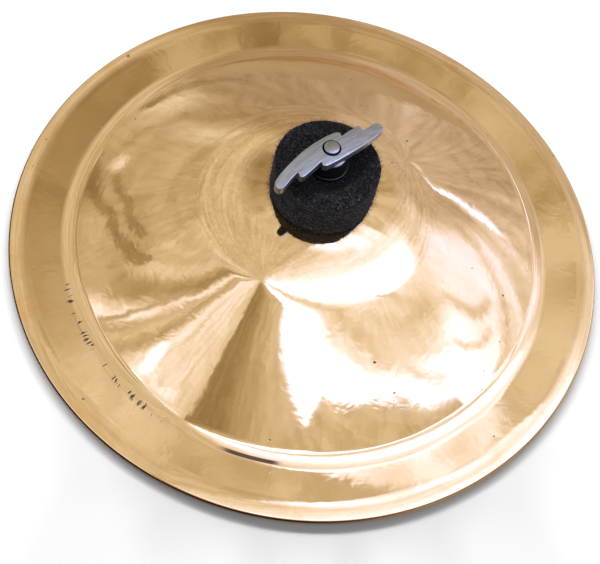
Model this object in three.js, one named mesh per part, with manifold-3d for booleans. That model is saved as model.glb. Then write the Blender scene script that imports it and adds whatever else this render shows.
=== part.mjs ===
import * as THREE from 'three';
import { mergeVertices } from 'three/addons/utils/BufferGeometryUtils.js';
import Module from 'manifold-3d';

// Bell cymbal on its rod. Millimetres, +Z up along the axis of the bell, which stands on its rim at z = 0.

// Bell
const bellDiameter = 241.3;
const flangeWidth = 19.4;
const flangeRiseWidth = 10.8;
const crownReach = 22;
const crownCurveRadius = 158;
const shoulderCurveRadius = 69;
const creaseCurveRadius = 15.8;
const bellWall = 3;
const creaseWall = 2.2;
const rimWall = 2;
const rimFootWidth = 1.6;
const bellHoleDiameter = 13;
const coneSlopeDeg = 31;
const flangeRiseDeg = 3;
const lipFallDeg = 12;

// Felts and sleeve
const upperFeltDiameter = 41;
const upperFeltThickness = 15.7;
const lowerFeltDiameter = 38;
const lowerFeltThickness = 8;
const feltEdgeRadius = 1.6;
const sleeveWall = 1.5;
const sleeveLengthOverBell = 8;

// Rod, and the post that holds it
const rodDiameter = 5.9;
const rodTipRadius = 1;
const rodTipStandOut = 1.1;
const postDiameter = 14;
const postLength = 22;
const postCollarDiameter = 20;
const postCollarThickness = 2.5;
const postChamfer = 0.8;
const rodThreadDepth = 7.5;
const standThreadDiameter = 6.8;
const standThreadDepth = 11;
const spannerFlatDistance = 12;
const spannerFlatHeight = 8;

// Washers
const seatWasherDiameter = 32;
const seatWasherSheet = 1.6;
const seatWasherLipDrop = 1.4;
const thrustWasherDiameter = 15.5;
const thrustWasherThickness = 1.5;

// Wing nut
const wingSpan = 50.6;
const wingWidth = 11;
const wingThickness = 3.8;
const wingDroop = 5;
const wingHoleDiameter = 7.3;
const wingHoleDepth = 3;
const hubTopDiameter = 12.4;
const hubBaseDiameter = 14.6;
const hubHeight = 5.8;
const wingTurnDeg = 50;

// Clearances: seatGap between pieces that touch, fitGap round what passes through a hole
const seatGap = 0.3;
const fitGap = 0.3;
const cutOverrun = 1;

// Facets round a turned piece
const bellFacets = 64;
const feltFacets = 40;
const smallFacets = 32;

const wasm = await Module();
wasm.setup();

const radians = THREE.MathUtils.degToRad;

// Points of an arc of a profile. Angles are measured from +Z towards the outside, so they are also
// the slope of the surface there. A negative radius makes a hollow arc.
function profileArc(centreRadius, centreHeight, radius, fromAngle, toAngle, steps) {
  const points = [];
  for (let i = 0; i <= steps; i += 1) {
    const angle = fromAngle + ((toAngle - fromAngle) * i) / steps;
    points.push({
      r: centreRadius + radius * Math.sin(angle),
      z: centreHeight + radius * Math.cos(angle),
      slope: angle,
    });
  }
  return points;
}

// A turned body from a profile of [radius, height] points that runs up the outside and down the inside
function turned(profile, facets) {
  const points = profile.map(([radius, height]) => new THREE.Vector2(radius, height));
  const geometry = new THREE.LatheGeometry(points, facets);
  geometry.rotateX(Math.PI / 2);
  return welded(geometry);
}

// The same body with only its positions, and each shared corner held once
function welded(geometry) {
  geometry.deleteAttribute('normal');
  geometry.deleteAttribute('uv');
  return mergeVertices(geometry);
}

function toSolid(geometry) {
  const mesh = welded(geometry);
  return new wasm.Manifold(new wasm.Mesh({
    numProp: 3,
    vertProperties: new Float32Array(mesh.attributes.position.array),
    triVerts: new Uint32Array(mesh.index.array),
  }));
}

function toGeometry(solid) {
  const mesh = solid.getMesh();
  const geometry = new THREE.BufferGeometry();
  geometry.setAttribute('position', new THREE.BufferAttribute(new Float32Array(mesh.vertProperties), 3));
  geometry.setIndex(new THREE.BufferAttribute(new Uint32Array(mesh.triVerts), 1));
  geometry.computeVertexNormals();
  return geometry;
}

// The bell's upper surface, worked out from the rim inwards as a chain of arcs that run into each other
const bellRadius = bellDiameter / 2;
const coneSlope = radians(coneSlopeDeg);
const flangeRise = radians(flangeRiseDeg);
const lipFall = radians(lipFallDeg);
const crownSlope = Math.asin(crownReach / crownCurveRadius);
const edgeRadius = rimWall / 2;
const edgeCentreRadius = bellRadius - edgeRadius;
const edgeCentreHeight = edgeRadius;

const lipEndRadius = edgeCentreRadius + edgeRadius * Math.sin(lipFall);
const lipEndHeight = edgeCentreHeight + edgeRadius * Math.cos(lipFall);
const lipStartRadius = bellRadius - (flangeWidth - flangeRiseWidth);
const lipCurveRadius = (lipEndRadius - lipStartRadius) / (Math.sin(lipFall) + Math.sin(flangeRise));
const lipCentreRadius = lipEndRadius - lipCurveRadius * Math.sin(lipFall);
const lipCentreHeight = lipEndHeight - lipCurveRadius * Math.cos(lipFall);
const lipStartHeight = lipCentreHeight + lipCurveRadius * Math.cos(flangeRise);

const riseCurveRadius = flangeRiseWidth / Math.sin(flangeRise);
const creaseRadius = bellRadius - flangeWidth;
const creaseHeight = lipStartHeight - riseCurveRadius * (1 - Math.cos(flangeRise));

const coneFootRadius = creaseRadius - creaseCurveRadius * Math.sin(coneSlope);
const coneFootHeight = creaseHeight + creaseCurveRadius * (1 - Math.cos(coneSlope));
const shoulderCentreRadius = crownReach - shoulderCurveRadius * Math.sin(crownSlope);
const coneTopRadius = shoulderCentreRadius + shoulderCurveRadius * Math.sin(coneSlope);
const coneTopHeight = coneFootHeight + (coneFootRadius - coneTopRadius) * Math.tan(coneSlope);
const shoulderCentreHeight = coneTopHeight - shoulderCurveRadius * Math.cos(coneSlope);
const crownEdgeHeight = shoulderCentreHeight + shoulderCurveRadius * Math.cos(crownSlope);
const crownCentreHeight = crownEdgeHeight - crownCurveRadius * Math.cos(crownSlope);

// Height of the surface that lies a given depth inside the upper surface of the crown and shoulder
function crownHeight(radius, depth) {
  const crown = crownCurveRadius - depth;
  if (radius <= crown * Math.sin(crownSlope)) {
    return crownCentreHeight + Math.sqrt(crown ** 2 - radius ** 2);
  }
  const shoulder = shoulderCurveRadius - depth;
  return shoulderCentreHeight + Math.sqrt(shoulder ** 2 - (radius - shoulderCentreRadius) ** 2);
}

function makeBell() {
  const holeSlope = Math.asin(bellHoleDiameter / 2 / crownCurveRadius);
  const lip = profileArc(lipCentreRadius, lipCentreHeight, lipCurveRadius, lipFall, -flangeRise, 4);
  const rise = profileArc(creaseRadius, creaseHeight + riseCurveRadius, -riseCurveRadius, -flangeRise, 0, 2);
  const crease = profileArc(
    creaseRadius, creaseHeight + creaseCurveRadius, -creaseCurveRadius, 0, coneSlope, 6,
  );
  const shoulder = profileArc(
    shoulderCentreRadius, shoulderCentreHeight, shoulderCurveRadius, coneSlope, crownSlope, 5,
  );
  const crown = profileArc(0, crownCentreHeight, crownCurveRadius, crownSlope, holeSlope, 3);
  const upper = [...lip, ...rise.slice(1), ...crease.slice(1), ...shoulder, ...crown.slice(1)];

  // The wall thins from the cone through the crease to the rim
  const wallAt = (point) => {
    if (point.r <= coneFootRadius) return bellWall;
    if (point.r <= creaseRadius) {
      return THREE.MathUtils.mapLinear(point.r, coneFootRadius, creaseRadius, bellWall, creaseWall);
    }
    return THREE.MathUtils.mapLinear(point.r, creaseRadius, lipEndRadius, creaseWall, rimWall);
  };
  const outside = upper.map((point) => [point.r, point.z]);
  const under = upper.map((point) => [
    point.r - wallAt(point) * Math.sin(point.slope),
    point.z - wallAt(point) * Math.cos(point.slope),
  ]);

  // The hole has straight walls
  const holeRadius = bellHoleDiameter / 2;
  under[under.length - 1] = [holeRadius, crownHeight(holeRadius, bellWall)];

  // The rim is round outside and stands on a narrow flat ring
  const footInnerRadius = edgeCentreRadius - rimFootWidth;
  const edge = [
    ...profileArc(edgeCentreRadius, edgeCentreHeight, edgeRadius, Math.PI, Math.PI / 2, 2),
    ...profileArc(edgeCentreRadius, edgeCentreHeight, edgeRadius, Math.PI / 2, lipFall, 3).slice(1, -1),
  ].map((point) => [point.r, point.z]);
  const underside = under.filter(([radius]) => radius < footInnerRadius - edgeRadius).reverse();
  const profile = [...underside, [footInnerRadius, 0], ...edge, ...outside];
  return turned([...profile, profile[0]], bellFacets);
}

// Heights of the pieces stacked on the axis
const bellHoleTop = crownHeight(bellHoleDiameter / 2, 0);
const rodRadius = rodDiameter / 2;
const sleeveInnerRadius = rodRadius + fitGap;
const sleeveOuterRadius = sleeveInnerRadius + sleeveWall;
const feltHoleRadius = sleeveOuterRadius + fitGap;
const upperFeltTop = crownHeight(feltHoleRadius, -seatGap) + upperFeltThickness;
const lowerFeltTop = crownHeight(feltHoleRadius, bellWall + seatGap);
const lowerFeltBottom = lowerFeltTop - lowerFeltThickness;
const seatWasherTop = lowerFeltBottom - seatGap;
const postTop = seatWasherTop - seatWasherSheet - seatGap;
const postBottom = postTop - postLength;
const rodBottom = postTop - rodThreadDepth + seatGap;
const thrustWasherBottom = upperFeltTop + seatGap;
const hubBottom = thrustWasherBottom + thrustWasherThickness + seatGap;
const wingBottom = hubBottom + hubHeight;
const wingTop = wingBottom + wingThickness;
const rodTop = wingTop + rodTipStandOut;

// A felt ring whose one face is flat and whose other face lies on the bell, with rounded outer edges
function makeFelt(diameter, flatHeight, bellDepth) {
  const outer = diameter / 2;
  const cornerStart = outer - feltEdgeRadius;
  const bellFace = [feltHoleRadius, (feltHoleRadius + cornerStart) / 2, cornerStart]
    .map((radius) => [radius, crownHeight(radius, bellDepth)]);
  const [, bellCorner] = bellFace[2];
  const upwards = Math.sign(flatHeight - bellCorner);
  const corner = feltEdgeRadius * (1 - Math.SQRT1_2);
  const profile = [
    ...bellFace,
    [outer - corner, bellCorner + upwards * corner],
    [outer, bellCorner + upwards * feltEdgeRadius],
    [outer, flatHeight - upwards * feltEdgeRadius],
    [outer - corner, flatHeight - upwards * corner],
    [cornerStart, flatHeight],
    [feltHoleRadius, flatHeight],
  ];
  if (upwards < 0) profile.reverse();
  return turned([...profile, profile[0]], feltFacets);
}

function makeSleeve() {
  const top = bellHoleTop + sleeveLengthOverBell;
  const bottom = seatWasherTop + seatGap;
  return turned([
    [sleeveInnerRadius, bottom],
    [sleeveOuterRadius, bottom],
    [sleeveOuterRadius, top],
    [sleeveInnerRadius, top],
    [sleeveInnerRadius, bottom],
  ], smallFacets);
}

// Flat on top, with its rim turned down
function makeSeatWasher() {
  const outer = seatWasherDiameter / 2;
  const hole = rodRadius + fitGap;
  const under = seatWasherTop - seatWasherSheet;
  const bend = seatWasherSheet * Math.SQRT1_2;
  const lipBottom = seatWasherTop - seatWasherLipDrop - seatWasherSheet;
  return turned([
    [hole, under],
    [outer - seatWasherSheet - bend, under],
    [outer - seatWasherSheet, lipBottom],
    [outer, lipBottom],
    [outer, seatWasherTop - bend],
    [outer - bend, seatWasherTop],
    [hole, seatWasherTop],
    [hole, under],
  ], smallFacets);
}

// The rod stands in the upper hole of the post, and a stand's rod is screwed into the lower one
function makePost() {
  const body = postDiameter / 2;
  const collar = postCollarDiameter / 2;
  const rodHole = rodRadius + fitGap;
  const standHole = standThreadDiameter / 2;
  const collarBottom = postTop - postCollarThickness;
  const post = toSolid(turned([
    [0, postBottom + standThreadDepth],
    [standHole, postBottom + standThreadDepth],
    [standHole, postBottom + postChamfer],
    [standHole + postChamfer, postBottom],
    [body - postChamfer, postBottom],
    [body, postBottom + postChamfer],
    [body, collarBottom],
    [collar, collarBottom],
    [collar, postTop - postChamfer],
    [collar - postChamfer, postTop],
    [rodHole, postTop],
    [rodHole, postTop - rodThreadDepth],
    [0, postTop - rodThreadDepth],
  ], smallFacets));
  const cutDepth = body - spannerFlatDistance / 2 + cutOverrun;
  const cutHeight = spannerFlatHeight + cutOverrun;
  let cutPost = post;
  for (const side of [-1, 1]) {
    const cutter = new THREE.BoxGeometry(cutDepth, postDiameter + cutOverrun, cutHeight);
    cutter.translate(
      side * (spannerFlatDistance / 2 + cutDepth / 2), 0, postBottom - cutOverrun + cutHeight / 2,
    );
    cutPost = cutPost.subtract(toSolid(cutter));
  }
  return toGeometry(cutPost);
}

function makeRod() {
  return turned([
    [0, rodBottom],
    [rodRadius - rodTipRadius, rodBottom],
    [rodRadius, rodBottom + rodTipRadius],
    ...profileArc(rodRadius - rodTipRadius, rodTop - rodTipRadius, rodTipRadius, Math.PI / 2, 0, 4)
      .map((point) => [point.r, point.z]),
    [0, rodTop],
  ], smallFacets);
}

function makeThrustWasher() {
  const outer = thrustWasherDiameter / 2;
  const hole = rodRadius + fitGap;
  const top = thrustWasherBottom + thrustWasherThickness;
  return turned([
    [hole, thrustWasherBottom],
    [outer, thrustWasherBottom],
    [outer, top],
    [hole, top],
    [hole, thrustWasherBottom],
  ], smallFacets);
}

// One half of the wing's outline, as [along, across] in shares of half the span and half the width. It
// runs from the middle of the smooth edge round the tip and back along the two steps.
const wingHalfShares = [
  [0.21, -0.98],
  [0.42, -0.91],
  [0.61, -0.77],
  [0.79, -0.59],
  [0.94, -0.38],
  [0.995, -0.16],
  [1, 0.12],
  [0.97, 0.35],
  [0.91, 0.39],
  [0.78, 0.24],
  [0.635, 0.12],
  [0.655, 0.5],
  [0.62, 0.64],
  [0.56, 0.62],
  [0.47, 0.585],
  [0.36, 0.52],
  [0.262, 0.43],
  [0.285, 0.72],
  [0.25, 0.89],
  [0.14, 0.97],
  [0, 1],
];

// A wing that bends down towards both tips, on a hub that tapers towards it
function makeWingNut() {
  const halfSpan = wingSpan / 2;
  const halfWidth = wingWidth / 2;
  const half = wingHalfShares.map(([along, across]) => [along * halfSpan, across * halfWidth]);
  const outline = [...half, ...half.map(([along, across]) => [-along, -across])];
  const shape = new THREE.Shape(outline.map(([along, across]) => new THREE.Vector2(along, across)));
  const wing = new THREE.ExtrudeGeometry(shape, { depth: wingThickness, bevelEnabled: false });
  const position = wing.attributes.position;
  for (let i = 0; i < position.count; i += 1) {
    const reach = position.getX(i) / halfSpan;
    position.setZ(i, wingBottom + position.getZ(i) - wingDroop * reach ** 2);
  }
  const hub = turned([
    [0, hubBottom],
    [hubBaseDiameter / 2, hubBottom],
    [hubTopDiameter / 2, wingBottom],
    [hubTopDiameter / 2 - wingThickness / 2, wingBottom + wingThickness / 2],
    [0, wingBottom + wingThickness / 2],
  ], smallFacets);
  const threadRadius = rodRadius + fitGap;
  const wingHoleRadius = wingHoleDiameter / 2;
  const bore = turned([
    [0, hubBottom - cutOverrun],
    [threadRadius, hubBottom - cutOverrun],
    [threadRadius, wingTop - wingHoleDepth],
    [wingHoleRadius, wingTop - wingHoleDepth],
    [wingHoleRadius, wingTop + cutOverrun],
    [0, wingTop + cutOverrun],
  ], smallFacets);
  const geometry = toGeometry(toSolid(wing).add(toSolid(hub)).subtract(toSolid(bore)));
  return geometry.rotateZ(radians(wingTurnDeg));
}

const bronze = new THREE.MeshStandardMaterial({ color: 0xd8b27c, roughness: 0.12, metalness: 1 });
const feltWool = new THREE.MeshStandardMaterial({ color: 0x2b2927, roughness: 0.95, metalness: 0 });
const satinCasting = new THREE.MeshStandardMaterial({ color: 0x9a9aa0, roughness: 0.38, metalness: 1 });
const brightSteel = new THREE.MeshStandardMaterial({ color: 0xb9babd, roughness: 0.25, metalness: 1 });
const nylon = new THREE.MeshStandardMaterial({ color: 0x1c1c1e, roughness: 0.5, metalness: 0 });

const cymbal = new THREE.Group();

function addPiece(name, geometry, material) {
  const mesh = new THREE.Mesh(geometry, material);
  mesh.name = name;
  cymbal.add(mesh);
}

addPiece('bell', makeBell(), bronze);
addPiece('upper_felt', makeFelt(upperFeltDiameter, upperFeltTop, -seatGap), feltWool);
addPiece('lower_felt', makeFelt(lowerFeltDiameter, lowerFeltBottom, bellWall + seatGap), feltWool);
addPiece('rod_sleeve', makeSleeve(), nylon);
addPiece('seat_washer', makeSeatWasher(), brightSteel);
addPiece('stand_post', makePost(), brightSteel);
addPiece('threaded_rod', makeRod(), brightSteel);
addPiece('thrust_washer', makeThrustWasher(), brightSteel);
addPiece('wing_nut', makeWingNut(), satinCasting);

export default cymbal;
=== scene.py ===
"""Bell cymbal on its rod: the finishes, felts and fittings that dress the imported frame. Lengths in metres."""

import math
import random

import bmesh
import bpy
from bpy.props import FloatProperty, FloatVectorProperty, IntProperty, PointerProperty
from mathutils import Matrix, Vector, noise


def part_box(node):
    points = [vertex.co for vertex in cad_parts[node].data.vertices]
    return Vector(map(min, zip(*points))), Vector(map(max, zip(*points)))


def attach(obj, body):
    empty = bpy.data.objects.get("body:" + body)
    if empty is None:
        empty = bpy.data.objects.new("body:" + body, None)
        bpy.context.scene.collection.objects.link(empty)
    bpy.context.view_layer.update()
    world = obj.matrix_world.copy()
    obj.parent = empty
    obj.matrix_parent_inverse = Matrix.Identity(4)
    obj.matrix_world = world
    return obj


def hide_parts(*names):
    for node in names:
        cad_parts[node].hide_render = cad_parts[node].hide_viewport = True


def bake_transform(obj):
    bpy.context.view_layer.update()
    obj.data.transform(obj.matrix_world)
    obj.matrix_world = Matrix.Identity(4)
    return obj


bl_info = {
    "name": "Bell Cymbal",
    "version": (1, 0, 0),
    "blender": (4, 5, 0),
    "location": "3D View > Sidebar > Cymbal",
    "description": "Builds a polished bell cymbal with its felts, wing nut and rod around a packed frame",
    "category": "Add Mesh",
}

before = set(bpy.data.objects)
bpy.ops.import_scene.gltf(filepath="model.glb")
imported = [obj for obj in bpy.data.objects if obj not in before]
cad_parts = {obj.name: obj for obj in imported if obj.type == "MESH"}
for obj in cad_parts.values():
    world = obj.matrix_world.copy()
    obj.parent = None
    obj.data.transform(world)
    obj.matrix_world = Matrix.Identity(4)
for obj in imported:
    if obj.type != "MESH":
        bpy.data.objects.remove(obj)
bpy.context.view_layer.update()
MM = 0.001
CRISP = math.radians(35)
QUARTER_TURN = math.pi / 2
# Keeps a division by a radius away from zero
TINY = 1e-5


def extent(node):
    """Radius, foot and top of a turned piece of the frame"""
    lowest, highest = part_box(node)
    return highest.x, lowest.z, highest.z


def reach(node):
    return extent(node)[0]


def a_length(name, description, default):
    return FloatProperty(name=name, description=description, default=default, unit="LENGTH")


def an_angle(name, description, degrees):
    return FloatProperty(name=name, description=description, default=math.radians(degrees), subtype="ANGLE")


def a_colour(name, description, default):
    return FloatVectorProperty(
        name=name, description=description, default=default, subtype="COLOR", min=0, max=1,
    )


class BellSettings(bpy.types.PropertyGroup):
    """The polished bronze shell. Its curves are those of the frame"""

    radius: a_length("Radius", "From the axis to the outer edge", reach("bell"))
    flange_width: a_length("Flange width", "From the crease to the outer edge", 19.4 * MM)
    flange_rise_width: a_length("Rising part", "Part of the flange that rises from the crease", 10.8 * MM)
    crown_reach: a_length("Crown reach", "Radius of the nearly flat crown", 22 * MM)
    crown_curve: a_length("Crown curve", "Curve radius of the crown", 158 * MM)
    shoulder_curve: a_length("Shoulder curve", "Curve radius of the shoulder", 69 * MM)
    crease_curve: a_length("Crease curve", "Curve radius of the crease", 15.8 * MM)
    wall: a_length("Wall", "Thickness of the cone", 3 * MM)
    crease_wall: a_length("Crease wall", "Thickness at the crease", 2.2 * MM)
    rim_wall: a_length("Rim wall", "Thickness at the outer edge", 2 * MM)
    rim_foot: a_length("Rim foot", "Width of the flat ring that it stands on", 1.6 * MM)
    hole_radius: a_length("Hole radius", "Radius of the hole on the axis", 6.5 * MM)
    cone_slope: an_angle("Cone slope", "Angle of the cone", 31)
    flange_rise: an_angle("Flange rise", "Steepest angle of the rising part", 3)
    lip_fall: an_angle("Lip fall", "Angle of the flange at the outer edge", 12)
    bronze: a_colour("Bronze", "Colour of the polished metal", (0.82, 0.575, 0.305))
    tarnish: a_colour("Tarnish", "Colour of the stains near the outer edge", (0.80, 0.47, 0.19))
    facets: IntProperty(name="Facets", description="Facets round the bell", default=384, min=64)


class FeltSettings(bpy.types.PropertyGroup):
    """The two felt washers"""

    edge_radius: a_length("Edge radius", "Rounding of the worn edges of the upper felt", 1.3 * MM)
    hidden_edge_radius: a_length("Hidden edge radius", "Rounding of the edges of the lower felt", 1.6 * MM)
    puff: a_length("Puff", "How far the felt rises round the washer that presses on it", 1.5 * MM)
    lumps: a_length("Lumps", "Height of the wide lumps of the skin", 0.22 * MM)
    matting: a_length("Matting", "Height of the small lumps of the skin", 0.24 * MM)
    fibre_length: a_length("Fibre length", "Longest loose fibre", 2.4 * MM)
    fibre_half: a_length("Fibre half width", "Half the width of a middling fibre", 0.042 * MM)
    fibres: IntProperty(name="Fibres", description="Loose fibres on a washer", default=9000, min=0)
    wool: a_colour("Wool", "Colour of the felt", (0.0042, 0.0040, 0.0044))
    pale_wool: a_colour("Pale wool", "Colour of the palest fibres", (0.125, 0.120, 0.130))


class WingSettings(bpy.types.PropertyGroup):
    """The cast wing nut"""

    span: a_length("Span", "From tip to tip", 50.6 * MM)
    width: a_length("Width", "Across the middle", 11 * MM)
    thickness: a_length("Thickness", "Thickness of the wing", 3.8 * MM)
    droop: a_length("Droop", "How far the tips bend down", 5 * MM)
    camber: a_length("Camber", "How far the sides of the top fall", 0.35 * MM)
    hub_top: a_length("Hub top", "Hub radius under the wing", 6.2 * MM)
    hub_base: a_length("Hub base", "Hub radius at the washer", 7.3 * MM)
    hole_radius: a_length("Hole radius", "Radius of the recess round the rod tip", 3.45 * MM)
    hole_depth: a_length("Hole depth", "Depth of the recess", 3 * MM)
    turn: an_angle("Turn", "How far the wing is turned at rest", 50)
    casting: a_colour("Casting", "Colour of the satin casting", (0.44, 0.46, 0.50))
    grain_grey: a_colour("Grain", "Colour of the brushed streaks", (0.24, 0.24, 0.25))
    rubbed: a_colour("Rubbed", "Colour of the rubbed edges", (0.72, 0.71, 0.70))
    # Painted shade: the near black colour painted into the recess round the rod tip and on the hub under the
    # wing
    painted_shade_colour: a_colour("Painted shade", "Colour of the oily recess and hub", (0.012, 0.011, 0.010))


class RodSettings(bpy.types.PropertyGroup):
    """The rod, its sleeve, the post under the bell and the washers"""

    tip_radius: a_length("Tip rounding", "Rounding of the rod tip", 0.5 * MM)
    pitch: a_length("Pitch", "Rise of the rod thread in a turn", 1 * MM)
    thread_depth: a_length("Thread depth", "Depth of the rod thread", 0.42 * MM)
    post_radius: a_length("Post radius", "Radius of the post under its collar", 7 * MM)
    collar_height: a_length("Collar height", "Thickness of the collar", 2.5 * MM)
    chamfer: a_length("Chamfer", "Chamfer of the post", 0.8 * MM)
    stand_hole: a_length("Stand hole", "Radius of the threaded hole in the post", 3.4 * MM)
    stand_depth: a_length("Stand hole depth", "Depth of the threaded hole", 11 * MM)
    flat_distance: a_length("Spanner width", "Distance across the two flats", 12 * MM)
    flat_height: a_length("Flat height", "Height of the two flats", 8 * MM)
    washer_sheet: a_length("Washer sheet", "Sheet thickness of the seat washer", 1.6 * MM)
    clearance: a_length("Clearance", "Gap round the rod", 0.3 * MM)
    sleeve_wall: a_length("Sleeve wall", "Wall of the nylon sleeve", 1.5 * MM)
    steel: a_colour("Steel", "Colour of the bright steel", (0.33, 0.33, 0.34))
    nylon: a_colour("Nylon", "Colour of the sleeve", (0.012, 0.012, 0.013))


class StageSettings(bpy.types.PropertyGroup):
    """The camera, the floor and the light"""

    camera_distance: a_length("Camera distance", "From the camera to the point it aims at", 0.5932)
    camera_elevation: an_angle("Camera elevation", "Angle of the view above the horizon", 59.8)
    camera_roll: an_angle("Camera roll", "How far the picture is turned", 14.35)
    camera_lens: FloatProperty(name="Lens", description="Focal length on a 36 mm wide sensor", default=88.26)
    aim_ahead: a_length("Aim ahead", "How far in front of the axis the camera aims", 0.0194)
    aim_aside: a_length("Aim aside", "How far beside the axis the camera aims", 0.00087)
    aim_height: a_length("Aim height", "How far over the floor the camera aims", 2 * MM)
    floor_half: a_length("Floor half width", "From the axis to the edge of the floor", 4)
    floor_colour: a_colour("Floor", "Colour of the floor", (0.86, 0.86, 0.86))
    tent_radius: a_length("Tent radius", "Radius of the light tent that the metal mirrors", 0.342)
    peak_turn: an_angle("Peak turn", "How far left of the front the tent's peak is", 32)
    peak_rise: an_angle("Peak rise", "Angle of the tent's peak above the horizon", 35.5)


def hypotenuse(x, y):
    return (x * x + y * y) ** 0.5


def operator(operation, swapped=False):
    """A method that adds a Math node"""

    def method(self, *others):
        values = (*others, self) if swapped else (self, *others)
        return self.paint.maths(operation, *values)

    return method


class Amount:
    """A socket of a node tree. A sum or product of amounts adds Math nodes, and | and & compare two masks"""

    def __init__(self, paint, socket):
        self.paint = paint
        self.socket = socket

    __add__ = operator("ADD")
    __radd__ = operator("ADD", swapped=True)
    __sub__ = operator("SUBTRACT")
    __rsub__ = operator("SUBTRACT", swapped=True)
    __mul__ = operator("MULTIPLY")
    __truediv__ = operator("DIVIDE")
    __pow__ = operator("POWER")
    __abs__ = operator("ABSOLUTE")
    __or__ = operator("MAXIMUM")
    __and__ = operator("MINIMUM")

    def ramp(self, start, end, first=0, last=1):
        """Runs smoothly from first to last as the amount runs from start to end"""
        return self.paint.node(
            "MapRange", {"interpolation_type": "SMOOTHSTEP"},
            {"Value": self, "From Min": start, "From Max": end, "To Min": first, "To Max": last},
        )


class Paint:
    """Fills the node tree of a finish, the floor or the light"""

    def __init__(self, tree):
        self.tree = tree
        tree.nodes.clear()

    def node(self, kind, settings=None, sockets=None, output=0):
        """Adds a node: its type, its settings, then the values or links of its sockets"""
        made = self.tree.nodes.new("ShaderNode" + kind)
        for name, value in (settings or {}).items():
            if name == "stops":
                self.set_stops(made.color_ramp, value)
            else:
                setattr(made, name, value)
        for key, value in (sockets or {}).items():
            if isinstance(value, Amount):
                self.tree.links.new(value.socket, made.inputs[key])
            else:
                made.inputs[key].default_value = value
        return Amount(self, made.outputs[output]) if made.outputs else made

    def set_stops(self, ramp, stops):
        for position, _ in stops[len(ramp.elements):]:
            ramp.elements.new(position)
        for element, (position, colour) in zip(ramp.elements, stops):
            element.position = position
            element.color = (*colour, 1)

    def maths(self, operation, *values, clamp=False):
        settings = {"operation": operation, "use_clamp": clamp}
        return self.node("Math", settings, dict(enumerate(values)))

    def vector(self, operation, *values, output=0):
        return self.node("VectorMath", {"operation": operation}, dict(enumerate(values)), output=output)

    def mixed(self, share, first, second):
        """A colour between two others"""
        return self.node("Mix", {"data_type": "RGBA"}, {0: share, 6: first, 7: second}, output=2)

    def blend(self, share, first, second):
        """An amount between two others"""
        return self.node("Mix", {"data_type": "FLOAT"}, {0: share, 2: first, 3: second})

    def place(self):
        return self.node("TexCoord", output="Object")

    def point(self, x, y, z=0):
        return self.node("CombineXYZ", None, {"X": x, "Y": y, "Z": z})

    def along(self, place, axis):
        return self.node("SeparateXYZ", None, {0: place}, output=axis)

    def in_grains(self, place, grains, turn=0, middle=(0, 0, 0)):
        """A place measured from a middle, in grains of a given length, width and height"""
        return self.node("Mapping", {"vector_type": "TEXTURE"}, {
            "Vector": place, "Location": middle, "Rotation": (0, 0, turn), "Scale": grains,
        })

    def grain(self, place, scale, detail=2, roughness=0.5, distortion=0):
        """Cloudy noise from 0 to 1, with a given number of grains in a metre"""
        return self.node("TexNoise", None, {
            "Vector": place, "Scale": scale, "Detail": detail,
            "Roughness": roughness, "Distortion": distortion,
        }, output="Fac")

    def bump(self, height, distance):
        return self.node("Bump", None, {"Strength": 1, "Distance": distance, "Height": height})

    def surface(self, kind, sockets):
        """Ends the tree with a shader"""
        self.node("OutputMaterial", None, {"Surface": self.node(kind, None, sockets)})

    def glossy(self, colour, roughness, normal, metallic=1):
        self.surface("BsdfPrincipled", {
            "Base Color": colour, "Metallic": metallic, "Roughness": roughness, "Normal": normal,
        })


def new_paint(name):
    material = bpy.data.materials.new(name)
    material.use_nodes = True
    return material, Paint(material.node_tree)


def opaque(colour, shade=1):
    """A colour for a socket, or a darker or lighter shade of it"""
    return (*(part * shade for part in colour), 1)


def lathe_place(paint, around, across):
    """A place on a turned piece, with so many grains round a radian and so many in a metre across"""
    place = paint.place()
    x, y, z = (paint.along(place, axis) for axis in "XYZ")
    radius = hypotenuse(x, y)
    turned_place = paint.point(x / radius * around, y / radius * around, (radius + z) * across)
    return turned_place, radius, paint.maths("ARCTAN2", y, x)


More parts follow.
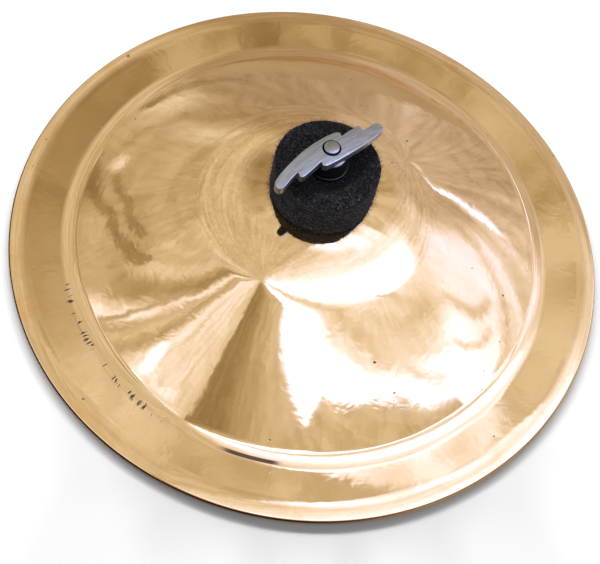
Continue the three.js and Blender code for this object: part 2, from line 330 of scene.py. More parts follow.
def bronze_finish(size):
    """Mirror-polished bronze: turning marks, slight waves, edge stains, pits in the crease, and a painted dark
    reflection in the crease at the front
    """
    material, paint = new_paint("polished_bronze")
    place = paint.place()
    marks, radius, angle = lathe_place(paint, 3, 2600)
    crease = size.radius - size.flange_width

    edge_share = radius.ramp(crease - 2 * MM, size.radius)
    stain = paint.grain(place, 42, 4, 0.6, 0.8).ramp(0.50, 0.70) * edge_share * 0.8
    drift = paint.grain(place, 16, 3, 0.55, 0.4).ramp(0.45, 0.75) * 0.22
    redder = [part * share for part, share in zip(size.bronze, (0.97, 0.95, 0.90))]
    bronze = paint.mixed(drift, opaque(size.bronze), opaque(redder))
    colour = paint.mixed(stain, bronze, opaque(size.tarnish))

    # A worn row of short dashes in the crease at the left
    dash_place, _, _ = lathe_place(paint, 62, 160)
    dashes = paint.grain(dash_place, 1, 2, 0.6).ramp(0.555, 0.60)
    past_row = radius - (crease - 1.2 * MM)
    row = past_row.ramp(-2 * MM, -0.4 * MM) * past_row.ramp(1.8 * MM, 0.4 * MM)
    left_side = angle.ramp(-2.72, -2.62) * angle.ramp(-1.85, -2.05)
    pits = dashes * row * left_side
    specks = paint.grain(place, 330, 1, 0.5).ramp(0.765, 0.80) * paint.grain(place, 19, 1).ramp(0.5, 0.62)
    # Painted dark reflection: a dark band in the crease at the front
    nearest = abs(angle + math.radians(89) + paint.grain(place, 90, 2) * 0.06).ramp(0.14, 0.08)
    painted_crease_reflection = nearest * abs(radius - crease + 2.3 * MM).ramp(0.9 * MM, 0.6 * MM)
    upper_side = paint.along(paint.node("TexCoord", output="Normal"), "Z").ramp(0.1, 0.4)
    # The pits and specks are real marks; the band in the front crease is a painted reflection. All of them take
    # the dark colour below
    marks_and_painted_reflection = (pits | specks | painted_crease_reflection) * upper_side
    colour = paint.mixed(marks_and_painted_reflection * 0.9, colour, (0.05, 0.025, 0.01, 1))

    smears = paint.grain(place, 24, 4, 0.6, 1.2).ramp(0.42, 0.72)
    roughness = 0.05 + smears * 0.04 + stain * 0.08 + marks_and_painted_reflection * 0.5

    waves = paint.grain(place, 34, 1.5, 0.4)
    ripples = paint.grain(place, 125, 2, 0.55, 0.5)
    turning = paint.grain(marks, 1, 2, 0.6)
    height = waves + ripples * 0.24 + turning * 0.008 - (pits | specks) * upper_side * 0.6
    paint.glossy(colour, roughness, paint.bump(height, 0.16 * MM))
    return material


def felt_finish(size):
    """Pressed wool: dark, with pale flecks in level layers and a matted surface"""
    material, paint = new_paint("dark_felt")
    place = paint.place()
    clumps = paint.grain(place, 520, 3, 0.65, 0.6)
    flecks = paint.grain(place, 1250, 2, 0.7, 1.0)
    layers = paint.grain(paint.in_grains(place, (14 * MM, 14 * MM, 1.2 * MM)), 1, 2, 0.6)
    mottle = clumps.ramp(0.48, 0.72) * 0.2 + flecks.ramp(0.55, 0.64) * 0.6
    mottle = mottle * layers.ramp(0.3, 0.65, 0.35, 1.25)
    height = clumps * 0.7 + flecks * 0.5 + layers * 0.6 + paint.grain(place, 150, 2, 0.5) * 0.8
    paint.surface("BsdfPrincipled", {
        "Base Color": paint.mixed(mottle, opaque(size.wool), opaque(size.pale_wool)),
        "Roughness": 0.9 + clumps * 0.1, "Normal": paint.bump(height, 1.1 * MM),
        "Sheen Weight": 0.04, "Sheen Roughness": 0.5, "Specular IOR Level": 0.15,
    })
    return material


def fibre_finish(size):
    """Loose fibres of the felt, from near black to grey"""
    material, paint = new_paint("loose_fibre")
    place = paint.place()
    tone = paint.grain(place, 900, 2, 0.6).ramp(0.42, 0.70)
    colour = paint.mixed(tone, opaque(size.wool), opaque(size.pale_wool))
    paint.glossy(colour, 0.85 + tone * 0.1, paint.bump(paint.grain(place, 4000, 1), 0.02 * MM), 0)
    return material


def casting_finish(size):
    """Satin casting: brushed along the wing, rubbed bright at its edges, with painted shade, near black, in the
    recess and on the hub under the wing
    """
    material, paint = new_paint("satin_casting")
    place = paint.place()
    skin = paint.grain(place, 2400, 2, 0.6)
    cloud = paint.grain(place, 160, 3, 0.55)
    worn = paint.node("NewGeometry", output="Pointiness").ramp(0.51, 0.58)
    grey = paint.mixed(cloud.ramp(0.35, 0.7) * 0.5, opaque(size.casting), opaque(size.casting, 0.86))
    colour = paint.mixed(worn * 0.6, grey, opaque(size.rubbed))

    # Painted shade: the recess round the rod tip and the hub under the wing are made near black and rougher,
    # where shade falls
    radius = hypotenuse(paint.along(place, "X"), paint.along(place, "Y"))
    under = extent("wing_nut")[2] - size.thickness
    below_wing = paint.along(place, "Z").ramp(under + 0.3 * MM, under - 0.4 * MM)
    hub = below_wing * radius.ramp(size.hub_base + 1.2 * MM, size.hub_base + 0.4 * MM)
    painted_shade = radius.ramp(size.hole_radius + 0.25 * MM, size.hole_radius + 0.05 * MM) | hub
    streak = paint.in_grains(place, (9 * MM, 0.7 * MM, 2 * MM), size.turn)
    brushed = paint.grain(streak, 1, 3, 0.6)
    colour = paint.mixed(brushed.ramp(0.42, 0.62) * 0.55, colour, opaque(size.grain_grey))
    colour = paint.mixed(painted_shade, colour, opaque(size.painted_shade_colour))
    roughness = 0.30 + cloud * 0.12 - worn * 0.08 + brushed * 0.08 + painted_shade * 0.4
    paint.glossy(colour, roughness, paint.bump(skin * 0.6 + cloud + brushed * 0.5, 0.08 * MM))
    return material


def steel_finish(size, painted_light=1):
    """Bright steel with turning marks and a few dull patches. A share below 1 darkens its colour as painted
    shade
    """
    material, paint = new_paint("bright_steel")
    marks, _, _ = lathe_place(paint, 3, 5200)
    dull = paint.grain(paint.place(), 210, 3, 0.6, 0.6).ramp(0.45, 0.72)
    steel = [part * painted_light for part in size.steel]
    colour = paint.mixed(dull * 0.35, opaque(steel), opaque(steel, 0.65))
    paint.glossy(colour, 0.24 + dull * 0.16, paint.bump(paint.grain(marks, 1, 2, 0.6), 0.04 * MM))
    return material


def nylon_finish(size):
    """Extruded nylon with faint draw lines"""
    material, paint = new_paint("black_nylon")
    lines, _, _ = lathe_place(paint, 40, 60)
    streaks = paint.grain(lines, 1, 2, 0.6)
    colour = paint.mixed(streaks * 0.4, opaque(size.nylon), opaque(size.nylon, 2.4))
    paint.glossy(colour, 0.42 + streaks * 0.2, paint.bump(streaks, 0.05 * MM), 0)
    return material


def mesh_piece(name, corners, faces, material=None, normals=None, crisp=None):
    """A smooth piece, with crisp edges where its faces meet at more than the angle"""
    mesh = bpy.data.meshes.new(name)
    mesh.from_pydata(corners, [], faces)
    mesh.update()
    mesh.shade_smooth()
    if normals:
        mesh.normals_split_custom_set_from_vertices(normals)
    if crisp:
        mesh.set_sharp_from_angle(angle=crisp)
    if material:
        mesh.materials.append(material)
    piece = bpy.data.objects.new(name, mesh)
    bpy.context.scene.collection.objects.link(piece)
    return piece


def made_solid(piece):
    """Works the modifiers of a piece into its mesh"""
    graph = bpy.context.evaluated_depsgraph_get()
    mesh = bpy.data.meshes.new_from_object(piece.evaluated_get(graph))
    piece.modifiers.clear()
    piece.data = mesh


def cut_away(piece, name, corners, faces):
    """Takes the shape of a tool out of a piece"""
    tool = mesh_piece(name, corners, faces)
    cut = piece.modifiers.new(name, "BOOLEAN")
    cut.operation = "DIFFERENCE"
    cut.object = tool
    made_solid(piece)
    bpy.data.objects.remove(tool)


def settle(piece, body, slot, *nodes):
    """Ties a rigid piece to its body and hides the solids that it stands for"""
    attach(piece, body)
    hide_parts(*nodes)


def hollow_piece(name, profile, facets, material, crisp, body, slot, node):
    """Turns a ring or a cup from its profile, and puts it in the place of a solid"""
    corners, faces = turned(profile, facets)
    settle(mesh_piece(name, corners, faces, material, crisp=crisp), body, slot, node)


def clamped(value, lowest=0, highest=1):
    return min(max(value, lowest), highest)


def spaced(start, end, steps):
    """Numbers from start to end in equal steps"""
    return [start + (end - start) * i / steps for i in range(steps + 1)]


def arc(centre_radius, centre_height, radius, start, end, steps):
    """Profile points [radius, height, slope]. Angles run from +Z outwards and are the slope there"""
    return [
        (centre_radius + radius * math.sin(angle), centre_height + radius * math.cos(angle), angle)
        for angle in spaced(start, end, steps)
    ]


def turned(profile, facets):
    """Corners and faces of a turned body. A point on the axis becomes one corner"""
    corners, faces, rings = [], [], []
    for radius, height in (point[:2] for point in profile):
        start = len(corners)
        if radius < 1e-7:
            corners.append((0, 0, height))
            rings.append([start] * facets)
            continue
        for i in range(facets):
            angle = 2 * math.pi * i / facets
            corners.append((radius * math.cos(angle), radius * math.sin(angle), height))
        rings.append(list(range(start, start + facets)))
    for lower, upper in zip(rings, rings[1:]):
        for i in range(facets):
            j = (i + 1) % facets
            face = [lower[i], lower[j], upper[j], upper[i]]
            face = [corner for k, corner in enumerate(face) if corner != face[k - 1]]
            if len(face) > 2:
                faces.append(tuple(face))
    return corners, faces


def together(*parts):
    """One list of corners and one of faces from several"""
    corners, faces = [], []
    for part_corners, part_faces in parts:
        shift = len(corners)
        corners += part_corners
        faces += [tuple(corner + shift for corner in face) for face in part_faces]
    return corners, faces


def ring(inner, outer, bottom, top):
    return [(inner, bottom), (outer, bottom), (outer, top), (inner, top), (inner, bottom)]


def rounded(points, radius, steps=4):
    """A profile of [radius, height] points with its corners rounded"""
    smooth = [points[0]]
    for before, corner, after in zip(points, points[1:], points[2:]):
        corner = Vector(corner)
        back, ahead = Vector(before) - corner, Vector(after) - corner
        start = corner + back.normalized() * min(radius, back.length * 0.45)
        end = corner + ahead.normalized() * min(radius, ahead.length * 0.45)
        for t in spaced(0, 1, steps):
            smooth.append(tuple(start * (1 - t) ** 2 + corner * 2 * t * (1 - t) + end * t ** 2))
    return [*smooth, points[-1]]


def helix(root, crest, pitch, bottom, top, facets):
    """Corners and faces of a thread whose rows follow its own rise"""
    shares = (0, 0, 0.5, 1, 1, 0.5)
    rows_in_turn = len(shares)
    rows = int((top - bottom) / pitch * rows_in_turn)
    corners, faces = [], []
    for row in range(-rows_in_turn, rows + 1):
        for i in range(facets):
            height = bottom + (row / rows_in_turn + i / facets) * pitch
            fade = min(max((height - bottom) / pitch, 0), max((top - height) / pitch, 0), 1)
            radius = root + (crest - root) * shares[row % rows_in_turn] * fade
            angle = 2 * math.pi * i / facets
            corners.append((radius * math.cos(angle), radius * math.sin(angle), clamped(height, bottom, top)))
    total = rows + rows_in_turn + 1
    for row in range(total - 1):
        start, above = row * facets, (row + 1) * facets
        faces += [(start + i, start + i + 1, above + i + 1, above + i) for i in range(facets - 1)]
        # The last column joins the first one of the turn above
        if row + rows_in_turn + 1 < total:
            turn_above = (row + rows_in_turn) * facets
            faces.append((above - 1, turn_above, turn_above + facets, above + facets - 1))
    return corners, faces


def bell_chain(size):
    """The bell's upper surface from the rim inwards, and the curves that other pieces lie on"""
    slope, rise, fall = size.cone_slope, size.flange_rise, size.lip_fall
    crown_slope = math.asin(size.crown_reach / size.crown_curve)
    edge = size.rim_wall / 2
    lip_end = size.radius - edge + edge * math.sin(fall)
    lip_start = size.radius - (size.flange_width - size.flange_rise_width)
    lip_curve = (lip_end - lip_start) / (math.sin(fall) + math.sin(rise))
    lip_radius = lip_end - lip_curve * math.sin(fall)
    lip_height = edge + edge * math.cos(fall) - lip_curve * math.cos(fall)
    rise_curve = size.flange_rise_width / math.sin(rise)
    crease = size.radius - size.flange_width
    crease_height = lip_height + lip_curve * math.cos(rise) - rise_curve * (1 - math.cos(rise))
    cone_foot = crease - size.crease_curve * math.sin(slope)
    foot_height = crease_height + size.crease_curve * (1 - math.cos(slope))
    shoulder_centre = size.crown_reach - size.shoulder_curve * math.sin(crown_slope)
    cone_top = shoulder_centre + size.shoulder_curve * math.sin(slope)
    top_height = foot_height + (cone_foot - cone_top) * math.tan(slope)
    shoulder_height = top_height - size.shoulder_curve * math.cos(slope)
    crown_edge = shoulder_height + size.shoulder_curve * math.cos(crown_slope)
    crown_height = crown_edge - size.crown_curve * math.cos(crown_slope)
    hole_slope = math.asin(size.hole_radius / size.crown_curve)

    cone_steps = 10
    cone = zip(spaced(cone_foot, cone_top, cone_steps), spaced(foot_height, top_height, cone_steps))
    upper = [
        *arc(lip_radius, lip_height, lip_curve, fall, -rise, 18),
        *arc(crease, crease_height + rise_curve, -rise_curve, -rise, 0, 10)[1:],
        *arc(crease, crease_height + size.crease_curve, -size.crease_curve, 0, slope, 28)[1:],
        *[(radius, height, slope) for radius, height in cone][1:-1],
        *arc(shoulder_centre, shoulder_height, size.shoulder_curve, slope, crown_slope, 28),
        *arc(0, crown_height, size.crown_curve, crown_slope, hole_slope, 14)[1:],
    ]

    def wall_at(radius):
        if radius <= cone_foot:
            return size.wall
        if radius <= crease:
            return size.wall + (size.crease_wall - size.wall) * (radius - cone_foot) / (crease - cone_foot)
        return size.crease_wall + (size.rim_wall - size.crease_wall) * (radius - crease) / (lip_end - crease)

    def crown_at(radius, depth):
        """Height of the crown or shoulder a given depth inside its upper surface"""
        curve = size.crown_curve - depth
        if radius <= curve * math.sin(crown_slope):
            return crown_height + math.sqrt(curve ** 2 - radius ** 2)
        curve = size.shoulder_curve - depth
        return shoulder_height + math.sqrt(curve ** 2 - (radius - shoulder_centre) ** 2)

    return upper, wall_at, crown_at


class CYMBAL_OT_bell(bpy.types.Operator):
    """Turns the polished bronze bell with its flange, crease, crown and hole"""

    bl_idname = "cymbal.bell"
    bl_label = "Bell"

    def execute(self, context):
        size = context.scene.cymbal_bell
        upper, wall_at, crown_at = bell_chain(size)
        under = [
            (r - wall_at(r) * math.sin(s), z - wall_at(r) * math.cos(s), s + math.pi) for r, z, s in upper
        ]
        edge = size.rim_wall / 2
        edge_centre = size.radius - edge
        foot_inner = edge_centre - size.rim_foot
        rim = [(foot_inner, 0, math.pi), *arc(edge_centre, edge, edge, math.pi, size.lip_fall, 16)[:-1]]

        # Both edges of the hole are broken with a small burr
        hole_radius, burr = size.hole_radius, 0.25 * MM
        _, hole_top, hole_slope = upper[-1]
        hole_under = crown_at(hole_radius, size.wall)
        hole = [
            (hole_radius + burr, hole_top - 0.02 * burr, hole_slope),
            (hole_radius + burr * 0.3, hole_top - burr * 0.35, -math.pi / 4),
            (hole_radius, hole_top - burr, -QUARTER_TURN),
            (hole_radius, hole_under + burr, -QUARTER_TURN),
            (hole_radius + burr * 0.3, hole_under + burr * 0.3, -math.pi * 0.75),
            (hole_radius + burr, hole_under, math.pi),
        ]
        inner = hole_radius + 2 * burr
        under = [point for point in under if inner < point[0] < foot_inner - edge]
        upper = [point for point in upper if point[0] > inner]
        profile = [*reversed(under), *rim, *upper, *hole]
        profile.append(profile[0])
        corners, faces = turned(profile, size.facets)
        normals = [
            (math.sin(s) * math.cos(2 * math.pi * i / size.facets),
             math.sin(s) * math.sin(2 * math.pi * i / size.facets), math.cos(s))
            for _, _, s in profile for i in range(size.facets)
        ]
        bell = mesh_piece("bell_shell", corners, faces, bronze_finish(size), normals)
        settle(bell, "bell", "bronze", "bell")
        return {"FINISHED"}


def felt_profile(hole, radius, flat, bell_face, edge):
    """A felt washer from its hole on the bell's side, round the outside, to its hole on the flat side"""
    inner = radius - edge
    bell_corner = bell_face(inner)
    side = math.copysign(1, flat - bell_corner)
    quarter = spaced(0, QUARTER_TURN, 8)
    bell_side = [(r, bell_face(r)) for r in spaced(hole, inner, 16)]
    bell_round = [
        (inner + edge * math.sin(a), bell_corner + side * edge * (1 - math.cos(a))) for a in quarter[1:]
    ]
    outside = [(radius, z) for z in spaced(bell_round[-1][1], flat - side * edge, 12)[1:-1]]
    flat_round = [(inner + edge * math.cos(a), flat - side * edge * (1 - math.sin(a))) for a in quarter]
    flat_side = [(r, flat) for r in spaced(inner, hole, 16)[1:]]
    bore = [(hole, z) for z in spaced(flat, bell_side[0][1], 6)[1:-1]]
    return bell_side + bell_round + outside + flat_round + flat_side + bore


def wool_strands(roots, normals, size, chance, keep_inside):
    """Strands of wool that leave the felt, lie over along it and curl. Returns their corners and faces"""
    corners, faces = [], []
    links = 4
    for _ in range(size.fibres):
        start = chance.randrange(len(roots))
        normal = normals[start]
        place = roots[start] + Vector([chance.uniform(-0.4, 0.4) * MM for _ in range(3)])
        lean = Vector([chance.gauss(0, 1) for _ in range(3)])
        lean = (lean - normal * lean.dot(normal)).normalized()
        rise = chance.uniform(0.15, 0.9)
        step = size.fibre_length * chance.uniform(0.25, 1) / links
        heading = (normal * rise + lean * (1 - rise)).normalized()
        curl = Vector([chance.gauss(0, 1) for _ in range(3)]) * 0.55
        half = size.fibre_half * chance.uniform(0.6, 1.3)
        sideways = heading.cross(normal)
        sideways = (sideways.normalized() if sideways.length > 1e-6 else lean) * half
        base = len(corners)
        for i in range(links + 1):
            width = sideways * (1 - 0.15 * i)
            corners += [place - width, place + width]
            place = keep_inside(place + heading * step)
            heading = (heading + curl * 0.35 - normal * 0.16 * i).normalized()
        faces += [(k, k + 1, k + 3, k + 2) for k in range(base, base + 2 * links, 2)]
    return corners, faces


def make_felt(name, size, profile, facets, seed, finishes, keep_inside):
    """A washer with an uneven matted skin and loose fibres"""
    corners, faces = turned([*profile, profile[0]], facets)
    mesh = bpy.data.meshes.new(name)
    mesh.from_pydata(corners, [], faces)
    shape = bmesh.new()
    shape.from_mesh(mesh)
    bmesh.ops.remove_doubles(shape, verts=shape.verts, dist=1e-7)
    bmesh.ops.recalc_face_normals(shape, faces=shape.faces)
    shape.normal_update()
    sunk = 0.16 * MM
    for corner in shape.verts:
        lumps = noise.noise(corner.co * 130 + Vector((seed, 0, 0))) * size.lumps
        matted = noise.noise(corner.co * 430 + Vector((0, seed, 0))) * size.matting
        corner.co = keep_inside(corner.co + corner.normal * (lumps + matted - sunk))
    shape.normal_update()
    skin = [corner.co.copy() for corner in shape.verts]
    normals = [corner.normal.copy() for corner in shape.verts]
    shape.to_mesh(mesh)
    shape.free()
    skin_faces = [tuple(face.vertices) for face in mesh.polygons]
    bpy.data.meshes.remove(mesh)
    strands, strand_faces = wool_strands(skin, normals, size, random.Random(seed), keep_inside)
    felt = mesh_piece(name, *together((skin, skin_faces), (strands, strand_faces)))
    for finish in finishes:
        felt.data.materials.append(finish)
    felt.data.polygons.foreach_set("material_index", [0] * len(skin_faces) + [1] * len(strand_faces))
    return felt


def keeper(hole, floor_at, ceiling_at):
    """Holds a point out of the hole, and between two heights that follow from its radius"""

    def keep_inside(place):
        radius = math.hypot(place.x, place.y)
        place = place.copy()
        place.z = clamped(place.z, floor_at(radius), ceiling_at(radius))
        if radius < hole:
            push = hole / max(radius, 1e-6)
            place.x, place.y = place.x * push, place.y * push
        return place

    return keep_inside


class CYMBAL_OT_felts(bpy.types.Operator):
    """Presses the felt over the bell and the felt under it"""

    bl_idname = "cymbal.felts"
    bl_label = "Felts"

    def execute(self, context):
        bell, size, rod = context.scene.cymbal_bell, context.scene.cymbal_felts, context.scene.cymbal_rod
        crown_at = bell_chain(bell)[2]
        finishes = [felt_finish(size), fibre_finish(size)]
        hole = reach("rod_sleeve") + rod.clearance
        thin, skin, spare, swell_width = 0.02 * MM, 0.1 * MM, 0.5 * MM, 6 * MM

        # The upper felt lies on the bell and swells round the washer that presses on it
        pressed = reach("thrust_washer") + MM
        radius, bottom, top = extent("upper_felt")
        profile = felt_profile(
            hole, radius, top - thin, lambda r: crown_at(r, -rod.clearance), size.edge_radius,
        )
        swell = [clamped((r - pressed) / swell_width) * (z - bottom) / (top - bottom) for r, z in profile]
        profile = [(r, z + size.puff * s * s * (3 - 2 * s)) for (r, z), s in zip(profile, swell)]
        keep_inside = keeper(
            hole - skin, lambda r: crown_at(r, -2 * thin),
            lambda r: top + (skin if r < pressed else size.puff + spare),
        )
        felt = make_felt("felt_over_bell", size, profile, 200, 7, finishes, keep_inside)
        self.press(felt, "upper_felt", top, bottom)

        # The lower felt lies in the seat washer, under the bell
        radius, bottom, top = extent("lower_felt")
        profile = felt_profile(
            hole, radius, bottom + thin, lambda r: crown_at(r, bell.wall + rod.clearance),
            size.hidden_edge_radius,
        )
        keep_inside = keeper(
            hole - skin, lambda r: bottom - skin, lambda r: crown_at(r, bell.wall + 2 * thin),
        )
        felt = make_felt("felt_under_bell", size, profile, 180, 11, finishes, keep_inside)
        self.press(felt, "lower_felt", bottom, top)
        return {"FINISHED"}

    def press(self, felt, node, start, end):
        """Hides the frame's solid of a felt and works the felt's place into its mesh"""
        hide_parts(node)
        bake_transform(felt)


# Half of the wing's outline, from one side round a tip to the other: shares of half the span and width
WING_HALF = [
    (0.21, -0.98), (0.42, -0.91), (0.61, -0.77), (0.79, -0.59), (0.94, -0.38), (0.995, -0.16), (1, 0.12),
    (0.97, 0.35), (0.91, 0.39), (0.78, 0.24), (0.635, 0.12), (0.655, 0.5), (0.62, 0.64), (0.56, 0.62),
    (0.47, 0.585), (0.36, 0.52), (0.262, 0.43), (0.285, 0.72), (0.25, 0.89), (0.14, 0.97), (0, 1),
]
# The points after which the outline runs straight, beside the inner corners of its steps
WING_CORNERS = {9, 10, 11, 15, 16, 17}


def curved(before, start, end, after, t):
    """A share of the way from start to end on a smooth curve through four values"""
    square = 2 * before - 5 * start + 4 * end - after
    cube = 3 * start - before - 3 * end + after
    return 0.5 * (2 * start + (end - before) * t + square * t * t + cube * t ** 3)


def wing_outline(size):
    """The wing's outline, drawn through its points with curves, but straight beside the inner corners"""
    half = [(a * size.span / 2, b * size.width / 2) for a, b in WING_HALF]
    points = half + [(-a, -b) for a, b in half]
    count = len(points)
    outline = []
    for i in range(count):
        near = [points[(i + k) % count] for k in (-1, 0, 1, 2)]
        if i % len(half) in WING_CORNERS:
            sides = [spaced(start, end, 4) for _, start, end, _ in zip(*near)]
        else:
            sides = [[curved(*part, t) for t in spaced(0, 1, 6)] for part in zip(*near)]
        outline += list(zip(*sides))[:-1]
    return outline


class CYMBAL_OT_wing_nut(bpy.types.Operator):
    """Casts the wing nut: a drooping stepped wing on a tapered hub, with a recess round the rod tip"""

    bl_idname = "cymbal.wing_nut"
    bl_label = "Wing nut"

    def execute(self, context):
        size, rod = context.scene.cymbal_wing, context.scene.cymbal_rod
        _, bottom, top = extent("wing_nut")
        facets, hub_land = 96, 0.4 * MM
        under, middle = top - size.thickness, top - size.thickness / 2
        nut = self.blank(context, size, under, top, turned([
            (0, bottom), (size.hub_base, bottom), (size.hub_base, bottom + hub_land), (size.hub_top, under),
            (size.hub_top * 0.75, middle), (0, middle),
        ], facets))
        for corner in nut.data.vertices:
            along = corner.co.x / (size.span / 2)
            across = corner.co.y / (size.width / 2)
            height = corner.co.z - under
            corner.co.z -= size.droop * along ** 2 * clamped(height / MM + 1)
            corner.co.z -= size.camber * min(across ** 2, 1) * clamped(height / size.thickness)
        bore, floor = reach("threaded_rod") + rod.clearance, top - size.hole_depth
        recess, bevel, flare, overrun = size.hole_radius, 0.5 * MM, 0.3 * MM, MM
        cut_away(nut, "bore", *turned([
            (0, bottom - overrun), (bore, bottom - overrun), (bore, floor), (recess, floor),
            (recess, top - bevel), (recess + flare, top + bevel), (0, top + bevel),
        ], facets))
        nut.data.transform(Matrix.Rotation(size.turn, 4, "Z"))
        nut.data.shade_smooth()
        nut.data.set_sharp_from_angle(angle=math.radians(50))
        nut.data.materials.clear()
        nut.data.materials.append(casting_finish(size))
        settle(nut, "nut", "satin_casting", "wing_nut")
        return {"FINISHED"}

    def blank(self, context, size, under, top, hub):
        """The flat wing and its hub, melted into one rounded casting"""
        outline = wing_outline(size)
        shape = bmesh.new()
        lower, upper = ([shape.verts.new((x, y, z)) for x, y in outline] for z in (under, top))
        shape.faces.new(list(reversed(lower)))
        shape.faces.new(upper)
        for i in range(len(outline)):
            shape.faces.new((lower[i - 1], lower[i], upper[i], upper[i - 1]))
        hub_corners = [shape.verts.new(corner) for corner in hub[0]]
        for face in hub[1]:
            shape.faces.new([hub_corners[k] for k in face])
        bmesh.ops.triangulate(shape, faces=shape.faces)
        bmesh.ops.recalc_face_normals(shape, faces=shape.faces)
        mesh = bpy.data.meshes.new("wing_nut_casting")
        shape.to_mesh(mesh)
        shape.free()
        nut = bpy.data.objects.new("wing_nut_casting", mesh)
        context.scene.collection.objects.link(nut)
        remesh = nut.modifiers.new("skin", "REMESH")
        remesh.mode = "VOXEL"
        remesh.voxel_size = 0.2 * MM
        soften = nut.modifiers.new("soften", "SMOOTH")
        soften.factor = 0.5
        soften.iterations = 5
        made_solid(nut)
        return nut


class CYMBAL_OT_rod_and_post(bpy.types.Operator):
    """Turns the threaded rod, the nylon sleeve on it and the post that a stand screws into"""

    bl_idname = "cymbal.rod_and_post"
    bl_label = "Rod, sleeve and post"

    def execute(self, context):
        size = context.scene.cymbal_rod
        steel = steel_finish(size)
        self.add_rod(size, steel)
        self.add_sleeve(size)
        self.add_post(size, steel)
        return {"FINISHED"}

    def add_rod(self, size, steel):
        crest, bottom, top = extent("threaded_rod")
        root, shank = crest - size.thread_depth, top - 4.2 * MM
        # The core lies just under the thread, and its tip has a rounded edge and a shallow dome
        core, bevel, dome_edge, dome_fall = root - 0.02 * MM, 0.3 * MM, 0.35 * MM, 0.75 * MM
        tip, end_slope, dome_slope = size.tip_radius, 0.5, 0.72
        tip_flat = crest - tip
        dome = [
            (tip_flat * math.sin(a) / math.sin(dome_slope) * 0.98, top - dome_fall * (1 - math.cos(a)))
            for a in (0.66, 0.5, 0.34, 0.17)
        ]
        core = turned([
            (0, bottom), (root - bevel, bottom), (core, bottom + bevel), (core, shank),
            (crest, shank + size.thread_depth),
            *arc(tip_flat, top - dome_edge - tip, tip, QUARTER_TURN, end_slope, 8), *dome, (0, top),
        ], 96)
        thread = helix(root, crest, size.pitch, bottom, shank, 48)
        rod = mesh_piece("rod_thread", *together(core, thread), steel, crisp=CRISP)
        settle(rod, "mount", "bright_steel", "threaded_rod")

    def add_sleeve(self, size):
        outer, bottom, top = extent("rod_sleeve")
        wall = rounded(ring(outer - size.sleeve_wall, outer, bottom, top), 0.3 * MM)
        hollow_piece("sleeve_tube", wall, 72, nylon_finish(size), CRISP, "seat", "nylon", "rod_sleeve")

    def add_post(self, size, steel):
        collar, bottom, top = extent("stand_post")
        body, cut, hole = size.post_radius, size.chamfer, size.stand_hole
        collar_foot = top - size.collar_height
        rod_radius, rod_foot, _ = extent("threaded_rod")
        rod_hole, rod_floor = rod_radius + size.clearance, rod_foot - size.clearance
        # The stand's thread has a bare bore at both of its ends
        relief, stand_pitch = 0.5 * MM, 1.25 * MM
        thread_root, drill_end = hole + relief, bottom + size.stand_depth
        break_edge, mouth, drill_cone, drill_flat = 0.3 * MM, 0.2 * MM, 0.6 * MM, 0.4 * MM
        post = mesh_piece("post_turned", *turned([
            (0, drill_end + drill_cone), (hole - drill_flat, drill_end), (hole, drill_end),
            (thread_root, drill_end - relief), (thread_root, bottom + relief),
            (thread_root + cut, bottom), (body - cut, bottom), (body, bottom + cut), (body, collar_foot),
            (collar - break_edge, collar_foot), (collar, collar_foot + break_edge), (collar, top - cut),
            (collar - cut, top), (rod_hole + mouth, top), (rod_hole, top - mouth), (rod_hole, rod_floor),
            (0, rod_floor),
        ], 96), steel)
        half = size.flat_distance / 2
        for side in (-1, 1):
            cut_away(post, "flat", *flat_tool(side, half, body, bottom, size.flat_height))
        post.data.shade_smooth()
        post.data.set_sharp_from_angle(angle=math.radians(30))
        settle(post, "mount", "bright_steel", "stand_post")
        ridge = mesh_piece("post_thread", *helix(
            thread_root + 0.02 * MM, hole, stand_pitch, bottom + relief, drill_end - relief, 64,
        ), steel, crisp=CRISP)
        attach(ridge, "mount")


def flat_tool(side, half, body, bottom, height):
    """A block that mills one spanner flat, with a rounded upper end where the tool runs out"""
    overrun, run_out, lift = MM, 0.8 * MM, 0.4 * MM
    foot, top, outer = bottom - overrun, bottom + height, body + overrun
    outline = [(half, foot), (outer, foot), (outer, top + lift)]
    for a in (0, 0.4, 0.8, 1.2, QUARTER_TURN):
        outward = 1 - math.sin(a)
        outline.append((half + run_out * outward, top - run_out * (1 - math.cos(a)) + lift * outward))
    corners = [(side * x, y, z) for y in (-outer, outer) for x, z in outline]
    count = len(outline)
    faces = [tuple(range(count)), tuple(reversed(range(count, 2 * count)))]
    faces += [(i, i + count, (i + 1) % count + count, (i + 1) % count) for i in range(count)]
    if side < 0:
        faces = [tuple(reversed(face)) for face in faces]
    return corners, faces


class CYMBAL_OT_washers(bpy.types.Operator):
    """Presses the seat washer under the lower felt and the thrust washer under the wing nut"""

    bl_idname = "cymbal.washers"
    bl_label = "Washers"

    def execute(self, context):
        size = context.scene.cymbal_rod
        hole, crisp = reach("threaded_rod") + size.clearance, math.radians(60)
        outer, lip, top = extent("seat_washer")
        sheet = size.washer_sheet
        cup = [
            (hole, top - sheet), (outer - sheet, top - sheet), (outer - sheet, lip), (outer, lip),
            (outer, top), (hole, top), (hole, top - sheet),
        ]
        cup = rounded(cup, 0.9 * MM, 6)
        hollow_piece("seat_cup", cup, 144, steel_finish(size), crisp, "mount", "bright_steel", "seat_washer")
        # The thrust washer's steel is darkened to painted shade under the wing nut
        thrust, painted_shade = rounded(ring(hole, *extent("thrust_washer")), 0.25 * MM), steel_finish(size, 0.15)
        hollow_piece("thrust_ring", thrust, 96, painted_shade, crisp, "washer", "bright_steel", "thrust_washer")
        return {"FINISHED"}


